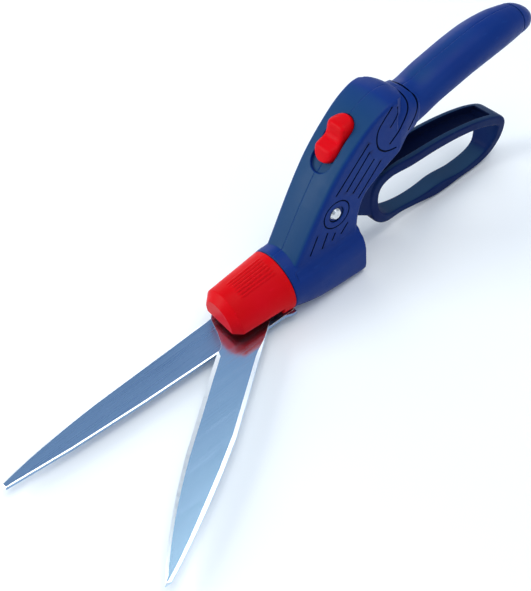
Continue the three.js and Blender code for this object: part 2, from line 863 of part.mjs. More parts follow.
// Flanged tube: clamps the hood from inside and turns in the front bearing.
const tubeRearX = -25.2;
const clipX = -23.9;
add(
  "swivel_tube",
  cut(
    join(bar("x", tubeRadius, tubeRearX, 4.6, 0, 0, 24), bar("x", 9.8, 3.7, 5.2, 0, 0, 24)),
    box(3.6, 6, -12, 12, -12, -6.8),
    bar("x", tubeBore, -22, 8, 0, 0, 24),
    bar("x", rodRadius + gap, -30, 0, 0, 0, 20),
    ring("x", 12, tubeRadius - 0.9, clipX - 0.2, clipX + 1.4, 0, 0, 24),
  ),
  brightSteel(),
);
const notches = [];
const notchCount = 8;
const notchReach = detentRadius + 1.1;
for (let i = 0; i < notchCount; i++) {
  const angle = Math.PI / 2 + (2 * Math.PI * i) / notchCount;
  notches.push(
    bar("x", 2, -30, -10, notchReach * Math.cos(angle), notchReach * Math.sin(angle), 12),
  );
}
add(
  "detent_ring",
  cut(ring("x", detentRadius, tubeRadius + 0.15, detentX - 2.6, detentX + 2.6, 0, 0, 32), ...notches),
  darkPlastic(),
);
add(
  "retaining_clip",
  cut(
    ring("x", 10.6, tubeRadius - 0.6, clipX, clipX + 1.2, 0, 0, 24),
    box(clipX - 1, clipX + 2, -2.2, 2.2, 5, 14),
  ),
  springSteel(),
);

const fixedBottomZ = fixedTopZ - fixedThickness;
const tipX = pivotX + bladeLength;
const fixedOutline = new THREE.Shape();
fixedOutline.moveTo(0.6, -14.6);
fixedOutline.lineTo(20, -14.2);
fixedOutline.quadraticCurveTo(25, -13.6, 30, -9.9);
fixedOutline.lineTo(104, -7.7);
fixedOutline.quadraticCurveTo(138, -5.6, tipX, -1.2);
fixedOutline.lineTo(tipX, 1.4);
fixedOutline.lineTo(123, 5);
fixedOutline.lineTo(86, 7.5);
fixedOutline.lineTo(30, 9.9);
fixedOutline.quadraticCurveTo(25, 13.6, 20, 14.2);
fixedOutline.lineTo(0.6, 14.6);
// Grinds a slope off the top face, along an edge that has the blade on its left.
const bladeGrind = THREE.MathUtils.degToRad(20);
function grind(x0, y0, x1, y1, z) {
  const length = Math.hypot(x1 - x0, y1 - y0) + 12;
  const geometry = new THREE.BoxGeometry(length, 16, 4);
  geometry.translate(0, 5, 2);
  geometry.rotateX(bladeGrind);
  geometry.rotateZ(Math.atan2(y1 - y0, x1 - x0));
  geometry.translate((x0 + x1) / 2, (y0 + y1) / 2, z);
  return solid(geometry);
}
const tab = plateXY(
  [
    [0.8, 13.8],
    [8, 13.8],
    [3, 16.2],
    [0.8, 16.2],
  ],
  fixedBottomZ,
  fixedTopZ,
);
add(
  "fixed_blade",
  cut(
    join(plateXY(fixedOutline, fixedBottomZ, fixedTopZ), tab),
    bar("z", boltRadius + 0.15, -20, 0, pivotX, 0, 20),
    ...hoodScrews.map((y) => bar("z", 1.5, -20, 0, hoodScrewX, y, 12)),
  ),
  brushedSteel(),
);

const boltHeadZ = fixedBottomZ - gap / 2;
add(
  "pivot_bolt",
  cut(
    join(
      bar("z", boltRadius, boltHeadZ - 0.5, -3.0, pivotX, 0, 20),
      bar("z", 5.6, boltHeadZ - 2.2, boltHeadZ, pivotX, 0, 24, 6),
    ),
    box(pivotX - 3, pivotX + 3, -0.5, 0.5, boltHeadZ - 3, boltHeadZ - 1.4),
  ),
  brightSteel(),
);
add("pivot_washer", ring("z", 6.4, boltRadius + 0.15, -6.95, -6.35, pivotX, 0, 24), brightSteel());
add(
  "pivot_nut",
  cut(bar("z", 5.6, -6.2, -3.3, pivotX, 0, 6), bar("z", boltRadius + 0.15, -9, 0, pivotX, 0, 20)),
  brightSteel(),
);
hoodScrews.forEach((y, i) => {
  add(
    `hood_screw_${i + 1}`,
    cut(
      join(
        bar("z", 0.8, boltHeadZ - 0.5, -4.8, hoodScrewX, y, 12),
        bar("z", 2.2, boltHeadZ - 1.3, boltHeadZ, hoodScrewX, y, 14),
      ),
      box(hoodScrewX - 1.6, hoodScrewX + 1.6, y - 0.3, y + 0.3, boltHeadZ - 2, boltHeadZ - 0.8),
    ),
    brightSteel(),
  );
});

// ---- moving blade, drawn closed about the pivot and then turned open --------
const movingBottomZ = movingTopZ - movingThickness;
const moving = new THREE.Shape();
moving.moveTo(bladeLength, -1.2);
moving.quadraticCurveTo(118, -8, 85, -9.7);
moving.lineTo(46, -10.5);
moving.lineTo(32, -10.6);
moving.lineTo(28, -9.4);
moving.lineTo(25.4, -9.9);
moving.lineTo(19.6, -13.3);
moving.lineTo(11.8, -19);
moving.quadraticCurveTo(7.6, -20.2, 4.4, -17.6);
moving.lineTo(-4.4, -14);
moving.quadraticCurveTo(-7.6, -12.4, -7.2, -8.8);
moving.absarc(0, 0, 10, Math.PI + 0.75, Math.PI / 2, true);
moving.lineTo(72, 9.9);
moving.lineTo(89, 8.5);
moving.quadraticCurveTo(122, 5, 139.4, 0.8);
const pinAngleClosed = Math.atan2(-driveArm, -rodTravel / 2);
const slotInner = driveArm - 0.1;
const slotOuter = Math.hypot(driveArm, rodTravel / 2) + 0.1;
const driveSlot = stadium((slotOuter - slotInner) / 2 + drivePinRadius + 0.2, drivePinRadius + 0.2);
const slotGeometry = new THREE.ExtrudeGeometry(driveSlot, {
  depth: 6,
  bevelEnabled: false,
  curveSegments: 8,
});
slotGeometry.translate((slotInner + slotOuter) / 2, 0, movingBottomZ - 2);
slotGeometry.rotateZ(pinAngleClosed);
const edgeGrinds = [
  grind(33, -10.6, 85, -9.7, movingTopZ - 0.8),
  grind(85, -9.7, 112, -7.4, movingTopZ - 0.8),
  grind(112, -7.4, bladeLength, -1.2, movingTopZ - 0.8),
];
const clearOfTang = box(-20, 30, -30, 30, -20, 10);
const movingBlade = cut(
  plateXY(moving, movingBottomZ, movingTopZ),
  solid(slotGeometry),
  bar("z", 5.2, -20, 0, 0, 0, 24),
  ...edgeGrinds.map((tool) => cut(tool, clearOfTang)),
);
const bladeMesh = add("moving_blade", movingBlade, brushedSteel());
bladeMesh.position.set(pivotX, 0, 0);
bladeMesh.rotation.z = openAngle;
add(
  "blade_bushing",
  ring("z", 5.0, boltRadius + 0.15, movingBottomZ, movingTopZ, pivotX, 0, 24),
  bronze(),
);

// ---- push rod ---------------------------------------------------------------
const armOutline = new THREE.Shape();
armOutline.moveTo(12.6, 4);
armOutline.lineTo(12.6, -4);
armOutline.lineTo(drivePinX - 2.4, -driveArm);
armOutline.absarc(drivePinX, -driveArm, 2.4, Math.PI, 2 * Math.PI, false);
armOutline.lineTo(19.4, 4);
const grooveFront = rivet.x + forkReach + gap;
const grooveRear = rivet.x - forkReach - gap;
add(
  "push_rod",
  cut(
    join(
      bar("x", rodRadius, grooveRear - 1.8, 14, 0, 0, 20),
      plateXY(armOutline, -2.45, 2.45),
      bar("x", 6.2, grooveFront, grooveFront + 1.6, 0, 0, 24),
      bar("x", 6.2, grooveRear - 1.8, grooveRear, 0, 0, 24),
    ),
    bar("z", drivePinRadius + 0.1, -9, 9, drivePinX, -driveArm, 16),
    ring("x", 6, rodRadius - 0.5, -3.6, -2.2, 0, 0, 20),
  ),
  brightSteel(),
);
add(
  "drive_pin",
  join(
    bar("z", drivePinRadius, movingBottomZ + 0.05, 3, drivePinX, -driveArm, 16),
    bar("z", 2.2, 2.7, 3.7, drivePinX, -driveArm, 16),
  ),
  brightSteel(),
);
add(
  "rod_collar",
  cut(ring("x", 4.8, rodRadius - 0.2, -3.4, -2.4, 0, 0, 20), box(-5, -1, -1.6, 1.6, 1, 8)),
  springSteel(),
);
add("return_spring", coil("x", 4.1, 0.55, -21.8, -3.6, 7, 0, 0), springSteel());

export default group;
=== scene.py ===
import json
import math

import bmesh
import bpy
import numpy as np
from mathutils import Matrix, Vector

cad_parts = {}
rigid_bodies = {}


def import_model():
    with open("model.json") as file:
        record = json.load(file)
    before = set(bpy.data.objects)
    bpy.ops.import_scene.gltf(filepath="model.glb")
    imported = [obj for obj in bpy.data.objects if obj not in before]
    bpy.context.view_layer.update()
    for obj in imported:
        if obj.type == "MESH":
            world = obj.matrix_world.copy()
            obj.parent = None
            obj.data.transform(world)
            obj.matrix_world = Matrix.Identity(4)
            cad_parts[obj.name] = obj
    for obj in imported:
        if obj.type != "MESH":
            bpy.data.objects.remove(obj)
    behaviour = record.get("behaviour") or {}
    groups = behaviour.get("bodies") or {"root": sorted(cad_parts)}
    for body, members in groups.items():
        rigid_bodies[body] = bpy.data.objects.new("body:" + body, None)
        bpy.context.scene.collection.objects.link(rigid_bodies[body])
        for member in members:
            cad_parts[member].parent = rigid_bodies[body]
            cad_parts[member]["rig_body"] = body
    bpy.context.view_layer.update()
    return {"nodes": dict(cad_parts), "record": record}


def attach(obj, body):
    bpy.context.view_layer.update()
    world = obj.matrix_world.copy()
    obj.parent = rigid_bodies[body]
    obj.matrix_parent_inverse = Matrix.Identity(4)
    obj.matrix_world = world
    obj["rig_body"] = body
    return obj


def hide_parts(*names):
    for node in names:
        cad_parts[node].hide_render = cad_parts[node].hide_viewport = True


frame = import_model()

# Pieces are drawn in millimetres about the swivel axis: X = 0 is the hood's rear rim.
AXIS_X = 30.0
AXIS_Z = 16.2
MM = 0.001


# ---- mesh helpers ------------------------------------------------------------
def mesh_object(name, points, faces):
    mesh = bpy.data.meshes.new(name)
    mesh.from_pydata([tuple(map(float, p)) for p in points], [], [tuple(f) for f in faces])
    mesh.validate()
    obj = bpy.data.objects.new(name, mesh)
    bpy.context.scene.collection.objects.link(obj)
    return obj


def outward(obj):
    """Turns the faces so that they point out of the solid."""
    bm = bmesh.new()
    bm.from_mesh(obj.data)
    bmesh.ops.recalc_face_normals(bm, faces=bm.faces)
    if bm.calc_volume(signed=True) < 0:
        bmesh.ops.reverse_faces(bm, faces=bm.faces)
    bm.to_mesh(obj.data)
    bm.free()
    return obj


def loft(name, rings, closed=False):
    """A skin over rings of equal count, capped at both ends or closed on itself."""
    rings = np.asarray(rings, float)
    stations, count, _ = rings.shape
    faces = []
    for i in range(stations if closed else stations - 1):
        k = (i + 1) % stations
        for j in range(count):
            m = (j + 1) % count
            faces.append((i * count + j, i * count + m, k * count + m, k * count + j))
    if not closed:
        faces.append(tuple(range(count))[::-1])
        faces.append(tuple((stations - 1) * count + j for j in range(count)))
    return outward(mesh_object(name, rings.reshape(-1, 3), faces))


def bake(obj):
    bpy.context.view_layer.update()
    graph = bpy.context.evaluated_depsgraph_get()
    mesh = bpy.data.meshes.new_from_object(obj.evaluated_get(graph))
    old = obj.data
    obj.modifiers.clear()
    obj.data = mesh
    bpy.data.meshes.remove(old)
    return obj


def combine(base, tools, operation):
    for tool in tools:
        modifier = base.modifiers.new("solid", "BOOLEAN")
        modifier.object = tool
        modifier.operation = operation
        modifier.solver = "MANIFOLD"
        bake(base)
    for tool in tools:
        mesh = tool.data
        bpy.data.objects.remove(tool)
        bpy.data.meshes.remove(mesh)
    return base


def join(base, *tools):
    return combine(base, tools, "UNION")


def cut(base, *tools):
    return combine(base, tools, "DIFFERENCE")


def common(base, *tools):
    return combine(base, tools, "INTERSECT")


def copy_of(obj):
    other = obj.copy()
    other.data = obj.data.copy()
    bpy.context.scene.collection.objects.link(other)
    return other


def box(x0, x1, y0, y1, z0, z1):
    points = [(x, y, z) for x in (x0, x1) for y in (y0, y1) for z in (z0, z1)]
    faces = [(0, 1, 3, 2), (4, 6, 7, 5), (0, 4, 5, 1), (2, 3, 7, 6), (0, 2, 6, 4), (1, 5, 7, 3)]
    return outward(mesh_object("box", points, faces))


def bar(axis, radius, start, end, a, b, count=48, end_radius=None):
    """A round bar or cone along one axis; a and b are its place on the other two."""
    end_radius = radius if end_radius is None else end_radius
    rings = []
    for along, r in ((start, radius), (end, end_radius)):
        ring = []
        for j in range(count):
            t = 2 * math.pi * j / count
            u, v = a + r * math.cos(t), b + r * math.sin(t)
            ring.append({"x": (along, u, v), "y": (u, along, v), "z": (u, v, along)}[axis])
        rings.append(ring)
    return loft("bar", rings)


def ring_bar(axis, outer, inner, start, end, a, b, count=64):
    hole = bar(axis, inner, start - 1, end + 1, a, b, count)
    return cut(bar(axis, outer, start, end, a, b, count), hole)


def blend_curve(p1, p2, v0, v1, w):
    """A place on the cubic from p1 to p2 that leaves at v0 and arrives at v1."""
    return (2 * (p1 - p2) + v0 + v1) * w**3 + (3 * (p2 - p1) - 2 * v0 - v1) * w**2 + v0 * w + p1


def catmull(points, count):
    """count + 1 places along a uniform Catmull-Rom curve."""
    p = np.asarray(points, float)
    n = len(p)
    places = []
    for i in range(count + 1):
        t = (n - 1) * i / count
        k = min(int(t), n - 2)
        w = t - k
        p0, p1, p2, p3 = p[max(k - 1, 0)], p[k], p[k + 1], p[min(k + 2, n - 1)]
        v0, v1 = (p2 - p0) / 2, (p3 - p1) / 2
        places.append(blend_curve(p1, p2, v0, v1, w))
    return np.array(places)


def catmull_loop(points, count):
    """count places along a closed uniform Catmull-Rom curve."""
    p = np.asarray(points, float)
    n = len(p)
    places = []
    for i in range(count):
        t = n * i / count
        k = int(t)
        w = t - k
        p0, p1, p2, p3 = p[(k - 1) % n], p[k % n], p[(k + 1) % n], p[(k + 2) % n]
        v0, v1 = (p2 - p0) / 2, (p3 - p1) / 2
        places.append(blend_curve(p1, p2, v0, v1, w))
    return np.array(places)


def round_section(half_width, half_height, power, count):
    t = 2 * np.pi * (np.arange(count) + 0.5) / count
    c, s = np.cos(t), np.sin(t)
    return np.stack([half_width * np.sign(c) * np.abs(c) ** (2 / power),
                     half_height * np.sign(s) * np.abs(s) ** (2 / power)], 1)


def plate_xz(outline, y0, y1):
    rings = [[(x, y, z) for x, z in outline] for y in (y0, y1)]
    return loft("plate", rings)


def plate_xy(outline, z0, z1):
    rings = [[(x, y, z) for x, y in outline] for z in (z0, z1)]
    return loft("plate", rings)


def stadium(half_length, half_width, count=16):
    straight = half_length - half_width
    t = np.linspace(-math.pi / 2, math.pi / 2, count)
    front = [(straight + half_width * math.cos(a), half_width * math.sin(a)) for a in t]
    return front + [(-x, -y) for x, y in front]


def ribbon(path, half_width):
    """The outline of a stroke of even width along a line of [x, z] places."""
    p = np.asarray(path, float)
    d = np.gradient(p, axis=0)
    d /= np.linalg.norm(d, axis=1, keepdims=True)
    n = np.stack([-d[:, 1], d[:, 0]], 1) * half_width
    start = p[0] - d[0] * half_width * 0.6
    end = p[-1] + d[-1] * half_width * 0.6
    return [*(p + n), end, *(p - n)[::-1], start]


def soften(obj, voxel, passes, keep=1.0):
    """Rounds every edge a little, as a moulding has them."""
    remesh = obj.modifiers.new("even", "REMESH")
    remesh.mode = "VOXEL"
    remesh.voxel_size = voxel
    remesh.adaptivity = 0.0
    if passes:
        relax = obj.modifiers.new("relax", "SMOOTH")
        relax.factor = 0.5
        relax.iterations = passes
    if keep < 1:
        thin = obj.modifiers.new("thin", "DECIMATE")
        thin.ratio = keep
    return bake(obj)


def paint(obj, *materials):
    """Gives every face the last of these materials."""
    obj.data.materials.clear()
    for material in materials:
        obj.data.materials.append(material)
    for polygon in obj.data.polygons:
        polygon.material_index = len(materials) - 1
    return obj


def engrave(obj, tools, material, hollow):
    """Cuts crisp lines into a finished surface and gives their inside a darker copy of the material, as
    painted shade.
    """
    paint(obj, material)
    obj.data.materials.append(hollow)
    return cut(obj, paint(tools, material, hollow))


def place(obj, name, body, material, slot, *nodes, smooth=True, crease=50):
    """Moves a finished piece into the frame and says what it is."""
    obj.data.transform(Matrix.Translation(Vector((AXIS_X, 0, AXIS_Z)) * MM) @ Matrix.Scale(MM, 4))
    obj.name = name
    obj.data.name = name
    if len(obj.data.materials) < 2:
        paint(obj, material)
    for polygon in obj.data.polygons:
        polygon.use_smooth = smooth
    if smooth:
        obj.data.set_sharp_from_angle(angle=math.radians(crease))
    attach(obj, body)
    if nodes:
        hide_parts(*nodes)
    return obj


# ---- materials ---------------------------------------------------------------
def new_material(name, color, roughness, metallic=0.0, **constants):
    mat = bpy.data.materials.new(name)
    mat.use_nodes = True
    shader = mat.node_tree.nodes["Principled BSDF"]
    shader.inputs["Base Color"].default_value = (*color, 1)
    shader.inputs["Roughness"].default_value = roughness
    shader.inputs["Metallic"].default_value = metallic
    for key, value in constants.items():
        shader.inputs[key.replace("_", " ")].default_value = value
    return mat, mat.node_tree.nodes, mat.node_tree.links, shader


def coordinates(nodes, links, scale=(1, 1, 1), turn=(0, 0, 0)):
    source = nodes.new("ShaderNodeTexCoord")
    mapping = nodes.new("ShaderNodeMapping")
    mapping.inputs["Scale"].default_value = scale
    mapping.inputs["Rotation"].default_value = turn
    links.new(source.outputs["Object"], mapping.inputs["Vector"])
    return mapping.outputs["Vector"]


def noise(nodes, links, vector, scale, detail=3.0, rough=0.5):
    node = nodes.new("ShaderNodeTexNoise")
    node.inputs["Scale"].default_value = scale
    node.inputs["Detail"].default_value = detail
    node.inputs["Roughness"].default_value = rough
    links.new(vector, node.inputs["Vector"])
    return node.outputs["Fac"]


def spread(nodes, links, value, low, high, from_low=0.3, from_high=0.7):
    node = nodes.new("ShaderNodeMapRange")
    node.inputs["From Min"].default_value = from_low
    node.inputs["From Max"].default_value = from_high
    node.inputs["To Min"].default_value = low
    node.inputs["To Max"].default_value = high
    links.new(value, node.inputs["Value"])
    return node.outputs["Result"]


def blend_colors(nodes, links, factor, a, b):
    node = nodes.new("ShaderNodeMix")
    node.data_type = "RGBA"
    for socket, value in ((node.inputs[6], a), (node.inputs[7], b)):
        if isinstance(value, tuple):
            socket.default_value = (*value, 1)
        else:
            links.new(value, socket)
    links.new(factor, node.inputs[0])
    return node.outputs[2]


def bump(nodes, links, shader, height, strength, distance):
    node = nodes.new("ShaderNodeBump")
    node.inputs["Strength"].default_value = strength
    node.inputs["Distance"].default_value = distance
    links.new(height, node.inputs["Height"])
    links.new(node.outputs["Normal"], shader.inputs["Normal"])


def moulded(name, color, pale, roughness, grain, grain_height, painted_sheen=None, towards=None, **constants):
    """Moulded plastic: cloudy colour, fine grain, pale rubbed edges, painted shade in creases and
    hollows, and a painted sheen on the faces turned one way.
    """
    mat, nodes, links, shader = new_material(name, color, roughness, **constants)
    vector = coordinates(nodes, links)
    cloud = noise(nodes, links, vector, 45, 4)
    tint = blend_colors(nodes, links, spread(nodes, links, cloud, 0.0, 0.35), color, pale)
    edges = nodes.new("ShaderNodeNewGeometry")
    rubbed = spread(nodes, links, edges.outputs["Pointiness"], 0.0, 0.5, 0.52, 0.62)
    wear_and_painted_light = blend_colors(nodes, links, rubbed, tint, pale)
    # Painted shade: concave creases and hollows (low pointiness) are darkened down to a fifth of the
    # colour.
    hollow = spread(nodes, links, edges.outputs["Pointiness"], 0.75, 0.0, 0.43, 0.492)
    wear_and_painted_light = blend_colors(nodes, links, hollow, wear_and_painted_light, tuple(0.2 * c for c in color))
    # Painted sheen: faces turned to the given direction blend into the paler sheen colour, the look of
    # a lit top face.
    if painted_sheen:
        facing = nodes.new("ShaderNodeVectorMath")
        facing.operation = "DOT_PRODUCT"
        facing.inputs[1].default_value = towards
        links.new(edges.outputs["Normal"], facing.inputs[0])
        painted_sheen_mask = spread(nodes, links, facing.outputs["Value"], 0.0, 1.0, 0.72, 0.99)
        wear_and_painted_light = blend_colors(nodes, links, painted_sheen_mask, wear_and_painted_light, painted_sheen)
    links.new(wear_and_painted_light, shader.inputs["Base Color"])
    fine = noise(nodes, links, vector, grain, 2, 0.6)
    smudge = noise(nodes, links, vector, 160, 3)
    shine = spread(nodes, links, smudge, roughness - 0.06, roughness + 0.08)
    links.new(shine, shader.inputs["Roughness"])
    bump(nodes, links, shader, fine, 0.5, grain_height)
    return mat


def metal(name, color, dark, roughness, stretch, turn=0.0, line=0.00001):
    """Steel with fine grinding lines along one direction."""
    mat, nodes, links, shader = new_material(name, color, roughness, 1.0)
    lines = noise(nodes, links, coordinates(nodes, links, stretch, (0, 0, turn)), 1.0, 4, 0.6)
    broad = noise(nodes, links, coordinates(nodes, links), 30, 2)
    shade = blend_colors(nodes, links, spread(nodes, links, lines, 0.0, 0.6), color, dark)
    links.new(blend_colors(nodes, links, spread(nodes, links, broad, 0.0, 0.25), shade, dark),
              shader.inputs["Base Color"])
    shine = spread(nodes, links, lines, roughness - 0.05, roughness + 0.12)
    links.new(shine, shader.inputs["Roughness"])
    bump(nodes, links, shader, lines, 0.4, line)
    return mat


# Directions of the faces that get the painted sheen, the lit look of a top face.
SLOPING = (0.74, 0.0, 0.67)
UPWARD = (0.0, 0.0, 1.0)
# The third colour given to each navy is its painted sheen.
NAVY = moulded("navy_moulding", (0.0030, 0.0250, 0.170), (0.006, 0.040, 0.21), 0.40,
               3200, 0.00003, (0.010, 0.050, 0.135), SLOPING, Specular_IOR_Level=0.09)
NAVY_LEVER = moulded("navy_lever_moulding", (0.0022, 0.011, 0.075), (0.012, 0.040, 0.12), 0.42,
                     2600, 0.00006, (0.020, 0.052, 0.112), UPWARD, Specular_IOR_Level=0.035)
# A darker copy of the lever's navy: painted shade for the grooves and the loop's channel.
NAVY_PAINTED_SHADE = moulded("navy_lever_painted_shade", (0.0015, 0.006, 0.034), (0.003, 0.010, 0.045), 0.6,
                      2600, 0.00006, Specular_IOR_Level=0.04)
RED = moulded("red_moulding", (0.60, 0.0015, 0.004), (0.70, 0.003, 0.018), 0.40, 3600, 0.00001,
              Specular_IOR_Level=0.05)
DARK = moulded("dark_moulding", (0.008, 0.009, 0.013), (0.02, 0.022, 0.03), 0.5, 3000, 0.00003,
               Specular_IOR_Level=0.3)
OPEN_ANGLE = math.radians(37)
BLADE = metal("ground_steel", (0.32, 0.46, 0.66), (0.13, 0.22, 0.38), 0.27, (22, 1500, 1500))
POLISHED = metal("polished_steel", (0.60, 0.78, 0.93), (0.36, 0.50, 0.70), 0.14, (16, 1500, 1500),
                 -OPEN_ANGLE)
BRIGHT_EDGE = metal("fresh_ground_edge", (0.93, 0.95, 0.96), (0.80, 0.84, 0.87), 0.32, (900, 900, 900))
PLATED = metal("plated_steel", (0.78, 0.79, 0.81), (0.5, 0.51, 0.53), 0.2, (900, 900, 900))
SPRING = metal("drawn_wire", (0.36, 0.37, 0.39), (0.18, 0.18, 0.19), 0.35, (900, 900, 900))
BRONZE = metal("sintered_bronze", (0.55, 0.33, 0.15), (0.3, 0.17, 0.08), 0.4, (1500, 1500, 1500))

SLOT_MATERIALS = {
    "navy_plastic": NAVY,
    "red_plastic": RED,
    "dark_plastic": DARK,
    "blade_steel": BLADE,
    "polished_steel": POLISHED,
    "plated_steel": PLATED,
    "spring_steel": SPRING,
    "bronze": BRONZE,
}
for part in frame["record"]["subparts"]:
    node = frame["nodes"][part["node"]]
    node.data.materials.clear()
    node.data.materials.append(SLOT_MATERIALS[part["material_slot"]])

# ---- the handle's form ---------------------------------------------------------
BARREL_RADIUS = 17.5
COLLAR_RADIUS = 16.6
COLLAR_TAPER = -15.0
BARREL_REAR = -45.0
SLAB_FRONT = -1.8
BODY_FRONT = -1.9
RIM_FRONT = 0.1
FOOT_FLAT = -16.2
WALL = 2.4
SLAB_HALF_WIDTH = 12.3  # at the lever's pin
RIVET_X, RIVET_Z = -31.3, 31.3
# The slab's outline seen from the side, as x and z: its top face, then its underside.
CROWN = catmull([(SLAB_FRONT, 10.1), (-7.3, 18.4), (-20.8, 38.8), (-34, 55.6), (-50, 69.4),
                 (-61, 75.2), (-69, 76.2), (-77, 73.6), (-87, 66.5)], 91)
BELLY = catmull([(-84, 50), (-68.5, 42.8), (-56, 36), (-49.5, 31), (-45.6, 22), (-44.2, 12)], 50)


def flank_y(x):
    """Half the width of the slab, which grows towards the hump."""
    return SLAB_HALF_WIDTH * (1 - 0.0022 * (x + 30))


def slab(inset):
    """The tall middle of the handle, from the collar to the hump."""
    outline = np.vstack([CROWN, BELLY, [(-44.2, 4), (SLAB_FRONT, 4)]])
    count = len(outline)
    before = outline - np.roll(outline, 1, axis=0)
    after = np.roll(outline, -1, axis=0) - outline
    before /= np.linalg.norm(before, axis=1, keepdims=True)
    after /= np.linalg.norm(after, axis=1, keepdims=True)
    normal = np.stack([-(before + after)[:, 1], (before + after)[:, 0]], 1)
    normal /= np.linalg.norm(normal, axis=1, keepdims=True)
    turn = np.maximum(0.5, (normal * np.stack([-before[:, 1], before[:, 0]], 1)).sum(1))
    into = normal / turn[:, None]
    moved = outline + into * inset
    on_crown = np.arange(count) < len(CROWN)
    s = np.clip((outline[:, 0] + 70) / 60, 0, 1)
    radius = np.where(on_crown, 1.6 + 1.3 * s, 2.2)
    rise = np.where(on_crown, 0.8, 0.0)
    rings = []
    steps = np.linspace(0, math.pi / 2, 7)
    across = [(0, share) for share in np.linspace(-1, 1, 9)[1:-1]]
    levels = [(-1, a) for a in steps[::-1]] + across + [(1, a) for a in steps]
    for side, value in levels:
        width = flank_y(outline[:, 0]) - inset
        if side:
            y = side * (width - radius + radius * math.sin(value))
            depth = radius * (1 - math.cos(value)) + rise
        else:
            y = value * (width - radius)
            depth = rise * value**2
        points = moved + into * np.asarray(depth)[:, None]
        rings.append(np.stack([points[:, 0], y, points[:, 1]], 1))
    return round_rear(loft("slab", rings), inset)


# The round neck behind the plateau: x, centre height, half width and half height.
NECK = [(-66, 48, 14.2, 22.2), (-76, 56.6, 12.9, 15), (-82, 57.8, 12, 12), (-90, 58.4, 11.1, 10)]
# Half the outline of the plateau's rounded rear end, as x and y.
TONGUE = [(-67, 25), (-69.5, 13.2), (-73, 11), (-75.6, 8.2), (-77, 4.6), (-77.5, 0)]


def round_rear(form, inset):
    """Ends the plateau in a rounded tongue, with a round neck behind it."""
    half = catmull([(x + inset, y - inset * min(1, y / 7)) for x, y in TONGUE], 30)
    other_half = [(x, -y) for x, y in half[-2::-1]]
    tongue = plate_xy([(20, -25), (20, 25), *half, *other_half], -40, 100)
    rings = []
    for x, z, half_width, half_height in catmull(NECK, 16):
        section = round_section(half_width - inset, half_height - inset, 2.6, 96)
        rings.append([(x, y, z + h) for y, h in section])
    return join(common(copy_of(form), tongue), common(form, loft("neck", rings)))


def barrel(inset, x0, x1, stations=24):
    """Round above the axis and squarer below it towards the rear."""
    rings = []
    count = 96
    for i in range(stations + 1):
        x = x0 + (x1 - x0) * i / stations
        rear = min(max((BODY_FRONT - x) / (BODY_FRONT - BARREL_REAR), 0), 1)
        front = min(max((x - COLLAR_TAPER) / (RIM_FRONT - COLLAR_TAPER), 0), 1)
        radius = BARREL_RADIUS + (COLLAR_RADIUS - BARREL_RADIUS) * front - inset
        depth = -FOOT_FLAT + 0.6 + (COLLAR_RADIUS + FOOT_FLAT - 0.6) * front - inset
        upper = round_section(radius, radius, 2, count)
        lower = round_section(radius, depth, 2 + 4.3 * rear, count)
        section = np.where(upper[:, 1:] > 0, upper, lower)
        rings.append([(x, y, z) for y, z in section])
    return loft("barrel", rings)


def flank_hollows():
    """The hollow along the foot of each flank, deeper towards the collar."""
    return [bar("x", 5.5, -47, -3.7, side * 18.2, 13.2, 64, 6.6) for side in (1, -1)]


# The palm grip and its end cap: x, centre height, half width and half height.
GRIP = [(-70, 55.6, 10.6, 13), (-76, 56.8, 11.2, 13.6), (-82, 57.4, 11.4, 12),
        (-87, 58, 11.5, 10.5), (-92, 58.9, 11.6, 9.8), (-101, 61.4, 11.7, 9.7),
        (-112, 63.4, 11.8, 9.7), (-123, 65.2, 11.8, 9.8), (-135, 66.4, 11.6, 9.9),
        (-147, 66.6, 10.8, 9.5), (-155, 66.2, 9.8, 8.7), (-160.8, 65.8, 8.9, 7.9)]
CAP = [(-161.1, 65.8, 8.9, 7.9), (-165, 65, 8.1, 7.2), (-169, 63.8, 6.5, 5.9), (-171.6, 63, 4.4, 4),
       (-172.8, 62.6, 2, 1.9)]


def grip_rings(stations, inset, count=64):
    rings = []
    for x, z, half_width, half_height in stations:
        section = round_section(half_width - inset, half_height - inset, 2.2, count)
        rings.append([(x, y, z + h) for y, h in section])
    return rings


def handle_form(inset):
    """Slab, barrel and grip in one, drawn in by the inset; at the wall's thickness it is the hollow."""
    form = slab(inset)
    stations = catmull(GRIP, 60)
    below_foot = box(-60, 5, -25, 25, -40, FOOT_FLAT + inset)
    if inset < WALL:
        join(form, barrel(inset, BARREL_REAR + inset, RIM_FRONT - inset))
        join(form, loft("grip", grip_rings(stations, inset)))
        return cut(form, below_foot, *flank_hollows())
    join(form, cut(barrel(inset, BARREL_REAR + inset, -13), below_foot))
    stations = np.vstack([stations, [(-161.8, 65.8, 8.9, 7.9)]])
    return join(form, loft("grip", grip_rings(stations, inset)))


# ---- grooves, slot and other openings ------------------------------------------
SLOPE = math.radians(42)
SLOT_X, SLOT_Z = -40.9, 61.3
LOCK_TRAVEL = 5.0
BUTTON_LENGTH, BUTTON_WIDTH = 12.0, 6.0  # half of each
SLOT_LENGTH = BUTTON_LENGTH + LOCK_TRAVEL / 2
RECESS = -1.9
BELLY_OPENING = [(-42, 24), (-42, 11), (-52, 8), (-74, 30), (-74, 41), (-66, 45), (-48, 38)]


def on_slot(obj, along=0.0):
    """From the slot's own frame, u along the slope and n out of it, onto the handle."""
    obj.data.transform(
        Matrix.Translation((SLOT_X + along * math.cos(SLOPE), 0, SLOT_Z - along * math.sin(SLOPE)))
        @ Matrix.Rotation(SLOPE, 4, "Y"))
    return obj


def slot_plate(half_length, half_width, n0, n1, along=0.0):
    return on_slot(plate_xy(stadium(half_length, half_width), n0, n1), along)


